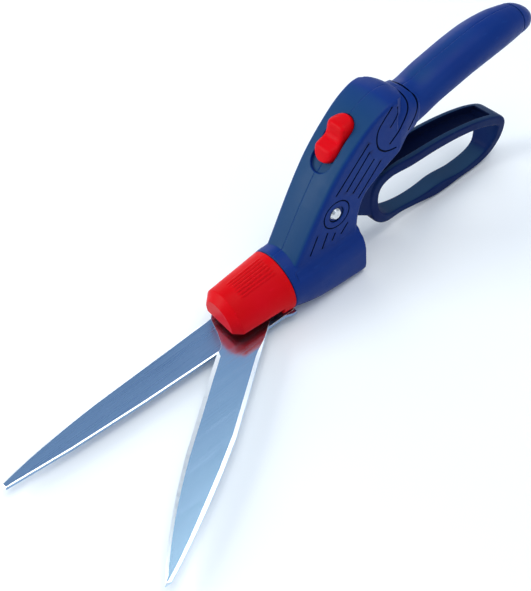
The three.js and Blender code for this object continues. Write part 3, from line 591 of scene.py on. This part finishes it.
def groove_plates():
    """Plates standing across both flanks where the shallow grooves run, as x and z places."""
    lines = [
        [(-51.7, 61.7), (-31.6, 42.9)], [(-52.2, 56.3), (-37.9, 41.5)], [(-54.9, 50.7), (-41.7, 38.1)],
        [(-59.1, 47.3), (-44.8, 32.9)], [(-19.3, 25.2), (-14, 15.6)], [(-25.3, 23.2), (-21.3, 15.2)],
        [(-29.8, 20), (-27.7, 16.4)], [(-37.7, 21.6), (-33.2, 17)],
    ]
    rings_of_neck = [
        [(-83.6, 84), (-84, 76), (-84.6, 71), (-84.6, 64.5), (-82.2, 59.2), (-77.2, 54)],
        [(-78.4, 84), (-78.9, 78), (-79.2, 72), (-78, 66), (-72.2, 59.8), (-64.6, 53.9)],
    ]
    scrolls = [
        [(-69, 72.6), (-69.3, 69.4), (-67.8, 66.4), (-64.8, 63.4)],
        [(-65.8, 74.2), (-60.8, 69.6), (-57.4, 65.4), (-56.6, 59.6), (-58.2, 54.6), (-62.6, 50.8),
         (-68.6, 49.4)],
    ]
    paths = [np.linspace(*np.array(line), 3) for line in lines]
    plates = [plate_xz(ribbon(path, FLANK_GROOVE), *side) for path in paths for side in FLANKS]
    plates += [plate_xz(ribbon(catmull(ring, 30), NECK_GROOVE), -18, 18) for ring in rings_of_neck]
    paths = [catmull(scroll, 30) for scroll in scrolls]
    plates += [plate_xz(ribbon(path, FLANK_GROOVE), *side) for path in paths for side in FLANKS]
    for side in FLANKS:
        plates.append(ring_bar("y", 8.0, 7.3, *side, RIVET_X, RIVET_Z))
        plates.append(bar("y", RIVET_RECESS, *side, RIVET_X, RIVET_Z, 64))
    return plates


GROOVE_DEPTH = 0.8
FLANK_GROOVE, NECK_GROOVE = 0.42, 0.5  # half widths
FLANKS = [(-18, -8), (8, 18)]
RIVET_RECESS = 4.4
RIVET_BOSS = 5.4
SCREW_SITES = [(-20, 27), (-39.6, -9.6), (-67, 62.5), (-99, 61.2), (-145, 66.6)]
SCREW_BOSS, SCREW_HOLE, SCREW_HEAD_HOLE = 3.3, 1.8, 3.2
form = handle_form(0)
grooves = groove_plates()
core = handle_form(GROOVE_DEPTH)
tools = join(grooves[0], *grooves[1:])
bosses = [common(bar("y", SCREW_BOSS, -18, 18, x, z), copy_of(core)) for x, z in SCREW_SITES]
cut(tools, core)
pad = common(slot_plate(SLOT_LENGTH + 2, BUTTON_WIDTH + 2, -4, -1), copy_of(form))
cut(form, handle_form(WALL))
join(form, *bosses)
for side in ((7.9, 12), (-12, -7.9)):
    join(form, bar("y", RIVET_BOSS, *side, RIVET_X, RIVET_Z))
join(form, barrel(1, -13.4, BODY_FRONT - 0.2, 4), pad)
cut(
    form,
    slot_plate(SLOT_LENGTH + 0.3, BUTTON_WIDTH + 0.3, RECESS, 8),
    slot_plate(4 + LOCK_TRAVEL / 2 + 0.3, 2.5, -9, 8),
    plate_xz(BELLY_OPENING[::-1], -7.2, 7.2),
    bar("x", 8, BARREL_REAR - 3, BARREL_REAR + 4, 0, 0),
    bar("x", 12.3, -12.9, -3.1, 0, 0),
    bar("x", 10, -13.9, 2, 0, 0),
    bar("x", 14.8, BODY_FRONT, 2, 0, 0, 96),
    bar("y", 2.9, -20, 20, RIVET_X, RIVET_Z),
    bar("y", RIVET_RECESS, 11.3, 20, RIVET_X, RIVET_Z),
    bar("y", RIVET_RECESS, -20, -11.3, RIVET_X, RIVET_Z),
    *[bar("y", SCREW_HOLE, -20, 7.4, x, z, 24) for x, z in SCREW_SITES],
    *[bar("y", SCREW_HEAD_HOLE, -20, -7, x, z, 32) for x, z in SCREW_SITES],
)
VOXEL = 0.34
SEAM = -0.08
for side, name in ((1, "left_shell"), (-1, "right_shell")):
    y0, y1 = sorted((side * SEAM, side * 40))
    half = common(copy_of(form), box(-200, 20, y0, y1, -40, 100))
    soften(half, VOXEL, 3, 0.45)
    engrave(half, copy_of(tools), NAVY, NAVY_PAINTED_SHADE)
    place(half, "body_" + name, "handle", NAVY, "navy_plastic", name)
bpy.data.objects.remove(form)
bpy.data.objects.remove(tools)

cap = loft("cap", grip_rings(catmull(CAP, 24), 0))
plug = loft("plug", grip_rings([(-160.2, 65.8, 8.9, 7.9), (-164.8, 65.8, 8.9, 7.9)], WALL + 0.3))
soften(join(cap, plug), VOXEL, 3, 0.45)
place(cap, "end_cap", "handle", NAVY, "navy_plastic", "grip_end_cap")

# ---- the trigger lever -----------------------------------------------------------
# The finger loop's middle line: x, z, half thickness and half width.
LOOP = [(-72, 27.4, 3.4, 7.8), (-86, 26.5, 3.4, 8.5), (-104, 25.2, 3.2, 8.5), (-121, 22.7, 2.9, 8.5),
        (-136, 19, 2.8, 8.5), (-147.5, 14.4, 3, 8.5), (-153.8, 10.4, 3, 8.5), (-154.9, 5, 3.3, 8.2),
        (-153.6, -2, 3.3, 7.4), (-150, -8.9, 3.2, 6), (-142, -12.4, 2.9, 5.3), (-128, -13, 2.4, 5.2),
        (-112, -12, 4, 5.1), (-98, -10.7, 2.6, 4.6), (-84, -8.3, 2.2, 4.3), (-71, -5, 2.8, 5.6),
        (-63.6, 3, 3, 6.4), (-61.6, 14, 3.1, 6.4), (-64, 23, 3.4, 7)]
LEVER_NECK = [(-27.5, 34), (-33, 37.6), (-46, 32.5), (-60, 29.4), (-68, 29), (-64, 16), (-61.5, 4.5),
              (-56, 8), (-50, 12.5), (-43, 18.5), (-36, 26.5), (-30, 26)]
LEVER_FORK = [(-28, 31), (-34.6, 31), (-33.9, 2), (-33.4, -1.2), (-32.2, -2.3), (-30.4, -2.3),
              (-29.3, -1.2), (-29.1, 1.2), (-30.5, 7.4), (-28.6, 9.4)]
stations = catmull_loop(LOOP, 200)
tangents = np.roll(stations, -1, axis=0)[:, :2] - np.roll(stations, 1, axis=0)[:, :2]
tangents /= np.linalg.norm(tangents, axis=1, keepdims=True)
rings = []
for (x, z, half, width), (dx, dz) in zip(stations, tangents):
    section = round_section(width, half, 7.0, 56)
    rings.append([(x - dz * out, y, z + dx * out) for y, out in section])
lever = loft("lever", rings, closed=True)
join(
    lever,
    plate_xz(LEVER_NECK, -6, 6),
    bar("y", 6.6, -7.4, 7.4, RIVET_X, RIVET_Z),
    *[plate_xz(LEVER_FORK, *side) for side in ((3.1, 6), (-6, -3.1))],
    plate_xz([(-28, 31), (-34.6, 31), (-34.2, 9), (-28.6, 9)], -6, 6),
)
LUG_ANGLE = math.radians(30.6)


def radial(angle, reach, side):
    """A place in the side view, out from the lever's pin along a direction and beside it."""
    return (RIVET_X - reach * math.sin(angle) - side * math.cos(angle),
            RIVET_Z + reach * math.cos(angle) - side * math.sin(angle))


lug = [(4, 0.8), (4, -0.8), (18.6, -0.8), (19.5, 0.8), (10, 1.6)]
join(lever, plate_xz([radial(LUG_ANGLE, reach, side) for reach, side in lug], -3, 3))
floor_line = catmull([(-68.5, 27.5), (-71, 26.6), (-86, 25.8), (-104, 24.3), (-121, 21.5), (-136, 17.7),
                      (-143.5, 14.9)], 40)
cut(
    lever,
    plate_xz([(-68.5, 45), *floor_line, (-146.5, 16.5), (-148, 45)], -5.6, 5.6),
    bar("y", 4, -20, 20, RIVET_X, RIVET_Z),
)
soften(lever, VOXEL, 3, 0.45)
place(lever, "lever_moulding", "lever", NAVY_LEVER, "navy_plastic", "trigger_lever")
# The loop's channel gets the darker copy of the navy: painted shade.
lever.data.materials.append(NAVY_PAINTED_SHADE)
for polygon in lever.data.polygons:
    x, y, z = polygon.center / MM - Vector((AXIS_X, 0, AXIS_Z))
    floor_z = np.interp(x, floor_line[::-1, 0], floor_line[::-1, 1])
    if -147.6 < x < -68.6 and abs(y) < 5.7 and z > floor_z - 0.5:
        polygon.material_index = 1

# ---- the lock button ---------------------------------------------------------------
plan = np.array(stadium(BUTTON_LENGTH, BUTTON_WIDTH, 24))
plan = np.vstack([np.linspace(plan[k - 1], plan[k], 7)[1:] for k in range(len(plan))])
waist = 0.13 * np.exp(-((plan[:, 0] / 3) ** 2))
plan[:, 1] *= 1 - waist
rings = [[(u, v, RECESS + 0.3) for u, v in plan * 0.97], [(u, v, RECESS + 0.6) for u, v in plan]]
for reach in np.concatenate([[1.0], np.cos(np.linspace(0, math.pi / 2, 26))[1:-1]]):
    ring = []
    for u, v in plan * reach:
        upper_lobe = 3.6 * math.exp(-(((u + 5.8) / 4.0) ** 2))
        lower_lobe = 2.6 * math.exp(-(((u - 6.2) / 3.8) ** 2))
        lobes = 1.3 + upper_lobe + lower_lobe
        ring.append((u, v, 0.7 + (lobes - 0.7) * (1 - reach**5) ** 0.42))
    rings.append(ring)
button = loft("button", rings)
join(button, plate_xy(stadium(4, 2.2), -4.4, 0.2))
cut(button, bar("z", 1.1, -8, -1, -2, 0, 24))
on_slot(button, -LOCK_TRAVEL / 2)
soften(button, 0.22, 2, 0.6)
place(button, "lock_slider", "lock", RED, "red_plastic", "lock_button")

# ---- the hood -----------------------------------------------------------------------
def lathe(profile, count=160):
    """A solid turned about the swivel axis, from pairs of x and radius."""
    turn = 2 * np.pi * np.arange(count) / count
    rings = [[(x, r * math.cos(t), r * math.sin(t)) for t in turn] for x, r in profile]
    return loft("lathe", rings)


HOOD_REAR, HOOD_REAR_RADIUS = 0.4, 16.5
HOOD_SHOULDER, HOOD_SHOULDER_RADIUS = 31, 14
HOOD_SCREW_X, HOOD_SCREW_Y = 3.2, (-11.9, 11.9)
RIB_START, RIB_END = 4, 25
RIB_RUN_OUT, RIB_HEIGHT, RIB_HALF_WIDTH = 1.5, 0.45, 0.5
hood = lathe([(HOOD_REAR, HOOD_REAR_RADIUS), (HOOD_SHOULDER, HOOD_SHOULDER_RADIUS), (35, 10)])
bosses = [common(bar("z", 2.2, -8.8, -4.2, HOOD_SCREW_X, y, 32), copy_of(hood)) for y in HOOD_SCREW_Y]
cut(hood, lathe([(3.4, 14.2), (30.2, 12), (33, 9.2)]))
join(hood, *bosses)
fall = (HOOD_REAR_RADIUS - HOOD_SHOULDER_RADIUS) / (HOOD_SHOULDER - HOOD_REAR)
for i in range(-3, 4):
    rings = []
    for x in np.linspace(RIB_START, RIB_END, 12):
        share = min(x - RIB_START, RIB_END - x, RIB_RUN_OUT) / RIB_RUN_OUT
        height = RIB_HEIGHT * (0.15 + 0.85 * math.sin(share * math.pi / 2))
        top = HOOD_REAR_RADIUS - (x - HOOD_REAR) * fall + height
        half = RIB_HALF_WIDTH
        section = [(-half, 13), (half, 13), (half, top - 0.2),
                   (0.2, top), (-0.2, top), (-half, top - 0.2)]
        rings.append([(x, y, z) for y, z in section])
    rib = loft("rib", rings)
    rib.data.transform(Matrix.Rotation(i * 0.12 - 0.1, 4, "X"))
    cut(rib, lathe([(3, 13.4), (32, 12.4)], 64))
    join(hood, rib)
cut(
    hood,
    box(7, 40, -20, 20, -20, -2.8),
    box(-1, 40, -20, 20, -20, -8.8),
    bar("x", 8.15, -1, 6, 0, 0),
    *[bar("z", 1, -9, -4.4, HOOD_SCREW_X, y, 24) for y in HOOD_SCREW_Y],
)
soften(hood, 0.26, 2, 0.5)
place(hood, "hood_moulding", "head", RED, "red_plastic", "head_hood")

# ---- blades --------------------------------------------------------------------------
PIVOT_X = 14.4
BLADE_LENGTH = 141.6
FIXED_BLADE = (-10.95, -9.15)  # heights of its two faces
MOVING_BLADE = (-8.9, -7.2)
TRIGGER_TURN = math.radians(12.5)


def quad(a, b, c, count=14):
    """Places along a quadratic curve, without its first."""
    t = np.linspace(0, 1, count)[1:, None]
    a, b, c = np.array(a), np.array(b), np.array(c)
    return [tuple(p) for p in (1 - t) ** 2 * a + 2 * t * (1 - t) * b + t**2 * c]


def finer(points, longest=4.0):
    """The same closed outline with no side longer than that."""
    out = []
    for a, b in zip(points, points[1:] + points[:1]):
        steps = max(1, math.ceil(math.dist(a, b) / longest))
        for k in range(steps):
            out.append((a[0] + (b[0] - a[0]) * k / steps, a[1] + (b[1] - a[1]) * k / steps))
    return out


def ground_plate(outline, z0, z1, width_at, slope):
    """A plate whose top edge is ground back by width_at(x, y), falling at that slope."""
    p = np.array(outline)
    before = p - np.roll(p, 1, axis=0)
    after = np.roll(p, -1, axis=0) - p
    before /= np.linalg.norm(before, axis=1, keepdims=True)
    after /= np.linalg.norm(after, axis=1, keepdims=True)
    into = np.stack([-(before + after)[:, 1], (before + after)[:, 0]], 1)
    into /= np.linalg.norm(into, axis=1, keepdims=True)
    area = 0.5 * np.sum(p[:, 0] * np.roll(p[:, 1], -1) - np.roll(p[:, 0], -1) * p[:, 1])
    into *= math.copysign(1, area)
    width = np.array([max(0.08, width_at(x, y)) for x, y in outline])
    inner = p + into * width[:, None]
    edge_z = z1 - width * math.tan(slope)
    rings = [
        [(x, y, z0) for x, y in p],
        [(x, y, z) for (x, y), z in zip(p, edge_z)],
        [(x, y, z1) for x, y in inner],
    ]
    return loft("blade", rings)


def steel_faces(obj, slope_low, slope_high, edge):
    """Gives the ground slopes their brighter finish."""
    obj.data.materials.append(edge)
    for polygon in obj.data.polygons:
        if slope_low < polygon.normal.z < slope_high:
            polygon.material_index = 1


def ramp(value, start, end):
    t = min(max((value - start) / (end - start), 0), 1)
    return t * t * (3 - 2 * t)


GRIND = math.radians(19)
fixed = [(0.6, -14.6), (20, -14.2)]
fixed += quad((20, -14.2), (25, -13.6), (30, -9.9))
fixed += [(104, -7.7)]
fixed += quad((104, -7.7), (138, -5.6), (156, -1.2))
fixed += [(156, 1.4), (123, 5), (86, 7.5), (30, 9.9)]
fixed += quad((30, 9.9), (25, 13.6), (20, 14.2))
fixed += [(0.6, 14.6)]


def fixed_grind(x, y):
    if x < 30:
        return 0
    return (0.6 if y > 0 else 0.35) * ramp(x, 30, 40)


blade = ground_plate(finer(fixed), *FIXED_BLADE, fixed_grind, GRIND)
tab = [(0.8, 13.8), (8, 13.8), (3, 16.2), (0.8, 16.2)]
join(blade, plate_xy(tab, FIXED_BLADE[0] + 0.02, FIXED_BLADE[1] - 0.02))
screw_holes = [bar("z", 1.5, -20, 0, HOOD_SCREW_X, y, 24) for y in HOOD_SCREW_Y]
cut(blade, bar("z", 3.15, -20, 0, PIVOT_X, 0), *screw_holes)
place(blade, "fixed_blade_ground", "head", BLADE, "blade_steel", "fixed_blade", smooth=False)
steel_faces(blade, 0.5, 0.98, BRIGHT_EDGE)

moving = [(BLADE_LENGTH, -1.2)]
moving += quad((BLADE_LENGTH, -1.2), (118, -8), (85, -9.7))
moving += [(46, -10.5), (32, -10.6), (28, -9.4), (25.4, -9.9), (19.6, -13.3), (11.8, -19)]
moving += quad((11.8, -19), (7.6, -20.2), (4.4, -17.6))
moving += [(-4.4, -14)]
moving += quad((-4.4, -14), (-7.6, -12.4), (-7.2, -8.8))
moving += [(10 * math.cos(a), 10 * math.sin(a)) for a in np.linspace(math.pi + 0.75, math.pi / 2, 24)]
moving += [(72, 9.9), (89, 8.5)]
moving += quad((89, 8.5), (122, 5), (139.4, 0.8))


def moving_grind(x, y):
    """Wide along the cutting edge from its heel, narrower along the back."""
    if y < 0:
        return (2.3 - 0.9 * ramp(x, 60, 141)) * (1 if x > 30 else 0)
    return 1.7 * ramp(x, 16, 30) - 0.6 * ramp(x, 100, 139)


travel = RIVET_Z * math.sin(TRIGGER_TURN)
arm = travel / (2 * math.tan(OPEN_ANGLE / 2))
slot_inner, slot_outer = arm - 0.1, math.hypot(arm, travel / 2) + 0.1
blade = ground_plate(finer(moving), *MOVING_BLADE, moving_grind, GRIND)
drive_slot = plate_xy(stadium((slot_outer - slot_inner) / 2 + 1.5, 1.5), -12, -4)
drive_slot.data.transform(Matrix.Rotation(math.atan2(-arm, -travel / 2), 4, "Z")
                          @ Matrix.Translation(((slot_inner + slot_outer) / 2, 0, 0)))
cut(blade, drive_slot, bar("z", 5.2, -20, 0, 0, 0))
blade.data.transform(Matrix.Translation((PIVOT_X, 0, 0)) @ Matrix.Rotation(OPEN_ANGLE, 4, "Z"))
place(blade, "moving_blade_ground", "blade", POLISHED, "polished_steel", "moving_blade", smooth=False)
steel_faces(blade, 0.5, 0.98, BRIGHT_EDGE)

# ---- small steel parts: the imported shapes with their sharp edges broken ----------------
screws = ["hood_screw_1", "hood_screw_2"] + [f"shell_screw_{i}" for i in range(1, 6)]
for node in ["lever_pivot_pin", "pivot_bolt", "pivot_nut", "pivot_washer", *screws]:
    source = frame["nodes"][node]
    piece = copy_of(source)
    for key in list(piece.keys()):
        del piece[key]
    piece.parent = None
    edge = piece.modifiers.new("edge", "BEVEL")
    edge.width = 0.00015
    edge.segments = 2
    edge.limit_method = "ANGLE"
    edge.angle_limit = math.radians(40)
    bake(piece)
    piece.name = piece.data.name = node + "_finished"
    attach(piece, source["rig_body"])
    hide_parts(node)

# ---- camera, floor, light --------------------------------------------------------------
SENSOR_WIDTH = 36
FOCAL_PIXELS = 834.97  # in a picture 531 wide
camera = bpy.data.objects.new("camera", bpy.data.cameras.new("camera"))
bpy.context.scene.collection.objects.link(camera)
camera.data.sensor_fit = "HORIZONTAL"
camera.data.sensor_width = SENSOR_WIDTH
camera.data.lens = FOCAL_PIXELS / 531 * SENSOR_WIDTH
camera.data.clip_start = 0.01
right = Vector((-0.766, 0.634, -0.103)).normalized()
back = Vector((0.341, 0.538, 0.771)).normalized()
up = back.cross(right).normalized()
right = up.cross(back)
turned = Matrix((right, up, back)).transposed().to_4x4()
camera.matrix_world = Matrix.Translation((0.17738, 0.22156, 0.32735)) @ turned
bpy.context.scene.camera = camera

corners = [(-3, -3), (3, -3), (3, 3), (-3, 3)]
floor = mesh_object("floor", [(x, y, -0.0004) for x, y in corners], [(0, 1, 2, 3)])
floor_mat, nodes, links, shader = new_material("pale_floor", (0.93, 0.93, 0.93), 0.6)
dust = noise(nodes, links, coordinates(nodes, links), 12, 3)
floor_tint = blend_colors(nodes, links, dust, (0.92, 0.92, 0.925), (0.95, 0.95, 0.95))
links.new(floor_tint, shader.inputs["Base Color"])
floor.data.materials.append(floor_mat)


def soft_box(name, at, target, size, power, color=(1, 1, 1)):
    light = bpy.data.lights.new(name, "AREA")
    light.shape = "RECTANGLE"
    light.size, light.size_y = size
    light.energy = power
    light.color = color
    obj = bpy.data.objects.new(name, light)
    bpy.context.scene.collection.objects.link(obj)
    obj.location = at
    obj.rotation_euler = (Vector(target) - Vector(at)).to_track_quat("-Z", "Y").to_euler()


soft_box("key", (1.1, -0.75, 0.6), (0, 0, 0.03), (0.7, 0.7), 13, (0.95, 1.0, 0.97))
soft_box("fill", (-0.4, 1.3, 0.9), (0, 0, 0.02), (1.2, 0.8), 3)
soft_box("far", (-0.5, -1.3, 0.45), (0, 0, 0.05), (1.4, 0.5), 5)
soft_box("top", (-0.2, 0.2, 1.6), (0, 0, 0), (1.2, 1.2), 12, (1.0, 0.98, 0.94))
world = bpy.data.worlds.new("studio")
world.use_nodes = True
nodes, links = world.node_tree.nodes, world.node_tree.links
direction = nodes.new("ShaderNodeTexCoord")
split = nodes.new("ShaderNodeSeparateXYZ")
tones = nodes.new("ShaderNodeValToRGB")
links.new(direction.outputs["Generated"], split.inputs["Vector"])
links.new(split.outputs["Z"], tones.inputs["Fac"])
links.new(tones.outputs["Color"], nodes["Background"].inputs["Color"])
WALLS = [(0.0, (0.45, 0.46, 0.48)), (0.4, (0.36, 0.40, 0.46)), (0.70, (0.24, 0.34, 0.50)),
         (0.82, (0.27, 0.38, 0.56)), (0.92, (0.62, 0.80, 0.90)), (1.0, (0.80, 0.92, 0.98))]
while len(tones.color_ramp.elements) < len(WALLS):
    tones.color_ramp.elements.new(0.5)
for element, (height, color) in zip(tones.color_ramp.elements, WALLS):
    element.position = height
    element.color = (*color, 1)
nodes["Background"].inputs["Strength"].default_value = 1.0
bpy.context.scene.world = world
bpy.context.scene.view_settings.view_transform = "Standard"
